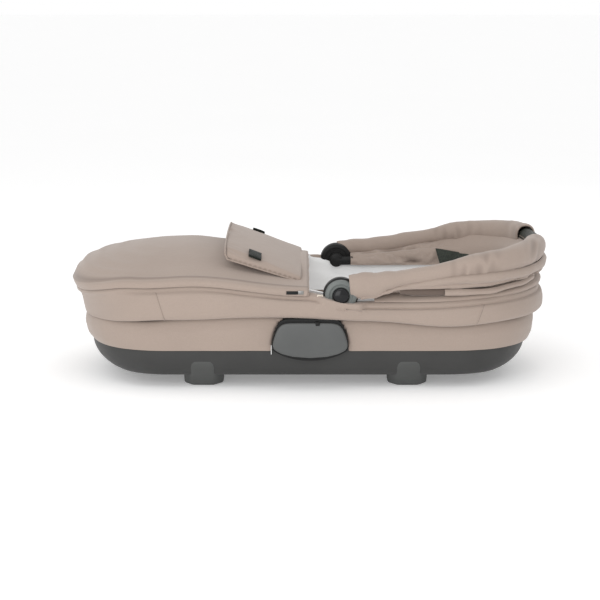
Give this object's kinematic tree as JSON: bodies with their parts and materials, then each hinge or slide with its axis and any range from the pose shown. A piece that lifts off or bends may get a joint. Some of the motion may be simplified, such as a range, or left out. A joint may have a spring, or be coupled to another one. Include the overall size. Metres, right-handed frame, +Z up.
{
  "type": "folding pram carrycot",
  "caption": "Folding pram carrycot with moulded tub on feet, cloth walls on a lifting rim, zipped apron with wind flap, folding hood with carry handle and side brackets.",
  "frame": {"origin": "on the floor under the middle of the cot", "axes": "+X from the foot end to the head end, +Y from the near side in the picture to the far side, +Z up"},
  "size_m": [0.86, 0.441, 0.2566],
  "materials": {
    "taupe_cloth": "woven melange",
    "white_cloth": "soft cotton",
    "black_plastic": "satin",
    "tub_plastic": "moulded, fine grain",
    "grey_plastic": "satin",
    "gloss_black": "gloss",
    "handle_cover": "stitched leatherette",
    "steel": "bright wire",
    "aluminium": "drawn tube",
    "board": "hardboard"
  },
  "bodies": {
    "base": {"tub_shell": "tub_plastic", "foot_foot_near": "tub_plastic", "foot_foot_far": "tub_plastic", "foot_head_near": "tub_plastic", "foot_head_far": "tub_plastic", "foot_screw_foot_near": "steel", "foot_screw_foot_far": "steel", "foot_screw_head_near": "steel", "foot_screw_head_far": "steel", "mattress_board": "board", "mattress": "white_cloth", "lower_wall": "taupe_cloth", "bracket_housing_near": "black_plastic", "bracket_housing_far": "black_plastic", "bracket_guide_near": "black_plastic", "bracket_guide_far": "black_plastic", "bracket_face_near": "black_plastic", "bracket_face_far": "black_plastic", "paddle_pin_near": "steel", "paddle_pin_far": "steel", "stay_block_foot_near": "black_plastic", "stay_block_foot_far": "black_plastic", "stay_block_head_near": "black_plastic", "stay_block_head_far": "black_plastic"},
    "rim_frame": {"rim_tube": "aluminium", "upper_wall": "taupe_cloth", "wall_pleat": "taupe_cloth", "inner_lining": "white_cloth", "apron": "taupe_cloth", "zip_slider_near": "steel", "zip_slider_far": "steel", "hub_housing_near": "black_plastic", "hub_housing_far": "black_plastic", "hub_pin_near": "steel", "hub_pin_far": "steel"},
    "zip_pull_near": {"zip_pull_near": "black_plastic"},
    "zip_pull_far": {"zip_pull_far": "black_plastic"},
    "wind_flap": {"wind_flap": "taupe_cloth", "flap_magnet_near": "black_plastic", "flap_magnet_far": "black_plastic"},
    "hood_rear": {"rear_bow": "steel", "rear_bow_eye_near": "black_plastic", "rear_bow_eye_far": "black_plastic", "rear_bow_sleeve": "taupe_cloth", "hood_rear_gore": "taupe_cloth"},
    "hood_front": {"handle_tube": "aluminium", "handle_hub_near": "grey_plastic", "handle_hub_far": "grey_plastic", "handle_sleeve_near": "taupe_cloth", "handle_sleeve_far": "taupe_cloth", "handle_grip": "handle_cover", "hood_front_gore": "taupe_cloth"},
    "hub_button_near": {"hub_button_near": "gloss_black"},
    "hub_button_far": {"hub_button_far": "gloss_black"},
    "release_paddle_near": {"release_paddle_near": "grey_plastic"},
    "release_paddle_far": {"release_paddle_far": "grey_plastic"},
    "latch_near": {"latch_near": "steel"},
    "latch_far": {"latch_far": "steel"},
    "stay_foot": {"stay_foot": "steel"},
    "stay_head": {"stay_head": "steel"}
  },
  "joints": [
    {"name": "rim_lift", "type": "slide", "parent": "base", "child": "rim_frame", "axis": [0, 0, 1], "range_m": [0, 0.11], "deforming": ["wall_pleat", "inner_lining"]},
    {"name": "hood_rear_turn", "type": "hinge", "parent": "rim_frame", "child": "hood_rear", "pos_m": [0.0525, 0, 0.168], "axis": [0, -1, 0], "range_deg": [0, 42], "deforming": ["hood_rear_gore"]},
    {"name": "hood_front_turn", "type": "hinge", "parent": "hood_rear", "child": "hood_front", "pos_m": [0.0525, 0, 0.168], "axis": [0, -1, 0], "range_deg": [0, 42], "deforming": ["hood_front_gore"]},
    {"name": "wind_flap_turn", "type": "hinge", "parent": "rim_frame", "child": "wind_flap", "pos_m": [-0.0135, 0, 0.2002], "axis": [0, 1, 0], "range_deg": [0, 70]},
    {"name": "stay_foot_turn", "type": "hinge", "parent": "base", "child": "stay_foot", "pos_m": [-0.28999, 0, 0.0974], "axis": [0, -1, 0], "range_deg": [0, 75]},
    {"name": "stay_head_turn", "type": "hinge", "parent": "base", "child": "stay_head", "pos_m": [0.285, 0, 0.0974], "axis": [0, 1, 0], "range_deg": [0, 75]},
    {"name": "zip_pull_near_turn", "type": "hinge", "parent": "rim_frame", "child": "zip_pull_near", "pos_m": [-0.022, -0.2112, 0.17357], "axis": [0, 0, 1], "range_deg": [0, 90]},
    {"name": "hub_button_near_press", "type": "slide", "parent": "hood_front", "child": "hub_button_near", "axis": [0, 1, 0], "range_m": [0, 0.003], "stiffness_N_per_m": 1500, "springref_m": -0.002},
    {"name": "release_paddle_near_turn", "type": "hinge", "parent": "base", "child": "release_paddle_near", "pos_m": [0, -0.2093, 0.1163], "axis": [-1, 0, 0], "range_deg": [0, 12], "stiffness_Nm_per_rad": 0.8, "springref_deg": -11.46},
    {"name": "latch_near_slide", "type": "slide", "parent": "base", "child": "latch_near", "axis": [0, -1, 0], "range_m": [0, 0.0067]},
    {"name": "zip_pull_far_turn", "type": "hinge", "parent": "rim_frame", "child": "zip_pull_far", "pos_m": [-0.022, 0.2112, 0.17357], "axis": [0, 0, -1], "range_deg": [0, 90]},
    {"name": "hub_button_far_press", "type": "slide", "parent": "hood_front", "child": "hub_button_far", "axis": [0, -1, 0], "range_m": [0, 0.003], "stiffness_N_per_m": 1500, "springref_m": -0.002},
    {"name": "release_paddle_far_turn", "type": "hinge", "parent": "base", "child": "release_paddle_far", "pos_m": [0, 0.2093, 0.1163], "axis": [1, 0, 0], "range_deg": [0, 12], "stiffness_Nm_per_rad": 0.8, "springref_deg": -11.46},
    {"name": "latch_far_slide", "type": "slide", "parent": "base", "child": "latch_far", "axis": [0, 1, 0], "range_m": [0, 0.0067]}
  ],
  "couplings": [
    {"joint": "hood_front_turn", "follows": "hood_rear_turn", "ratio": 1},
    {"joint": "stay_foot_turn", "follows": "rim_lift", "rad_per_m": 11.884},
    {"joint": "stay_head_turn", "follows": "rim_lift", "rad_per_m": 11.884},
    {"joint": "latch_near_slide", "follows": "release_paddle_near_turn", "m_per_rad": 0.03151},
    {"joint": "latch_far_slide", "follows": "release_paddle_far_turn", "m_per_rad": 0.03151}
  ]
}
